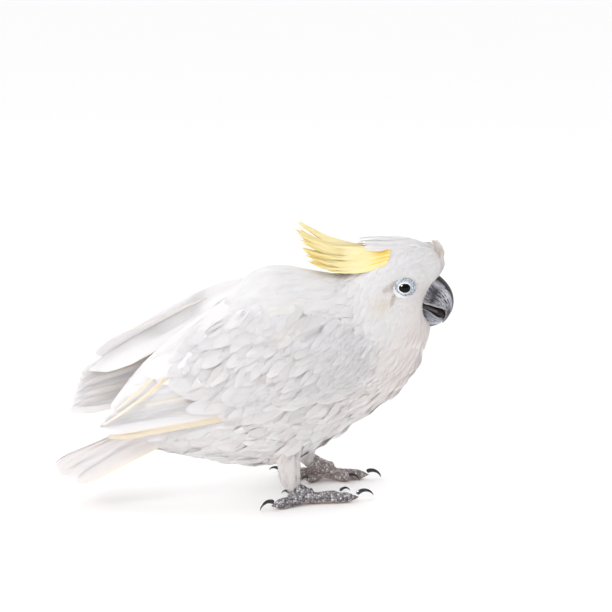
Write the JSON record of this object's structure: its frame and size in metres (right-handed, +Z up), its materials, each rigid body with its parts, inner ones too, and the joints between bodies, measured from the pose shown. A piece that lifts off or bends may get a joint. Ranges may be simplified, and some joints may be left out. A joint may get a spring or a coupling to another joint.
{
  "type": "white cockatoo",
  "caption": "Life-size standing white cockatoo with a raised yellow crest, a hooked grey bill, drooped wings and gripping grey feet.",
  "frame": {"origin": "centre of the bounding box on the floor, between and a little behind the feet", "axes": "+X forward the way the bill points, +Y to the bird's left, +Z up"},
  "size_m": [0.424, 0.1517, 0.296],
  "materials": {
    "plumage": "soft matte white feathers, faintly lavender above and pinkish beige below",
    "crest": "matte feathers, white over lemon yellow",
    "bill_upper": "dark slate horn with a powdery bloom",
    "bill_lower": "blue-grey horn with a paler worn rim",
    "claw": "glossy blue-black horn",
    "scales": "grey skin of small raised scales",
    "eye": "wet, nearly black brown",
    "bare_skin": "wrinkled bare skin, pale bluish white",
    "tongue": "damp dark grey"
  },
  "bodies": {
    "root": {"bill_lower": "bill_lower", "bill_upper": "bill_upper", "claw_left_1": "claw", "claw_left_2": "claw", "claw_left_3": "claw", "claw_left_4": "claw", "claw_right_1": "claw", "claw_right_2": "claw", "claw_right_3": "claw", "claw_right_4": "claw", "crest": "crest", "eye_left": "eye", "eye_right": "eye", "eyelid_left": "bare_skin", "eyelid_right": "bare_skin", "forelock": "plumage", "head": "plumage", "neck": "plumage", "shank_left": "scales", "shank_right": "scales", "tail": "plumage", "thigh_left": "plumage", "thigh_right": "plumage", "toe_left_1": "scales", "toe_left_2": "scales", "toe_left_3": "scales", "toe_left_4": "scales", "toe_right_1": "scales", "toe_right_2": "scales", "toe_right_3": "scales", "toe_right_4": "scales", "tongue": "tongue", "trunk": "plumage", "wing_left_coverts": "plumage", "wing_left_primaries": "plumage", "wing_left_secondaries": "plumage", "wing_left_tertials": "plumage", "wing_right_coverts": "plumage", "wing_right_primaries": "plumage", "wing_right_secondaries": "plumage", "wing_right_tertials": "plumage"}
  },
  "joints": []
}
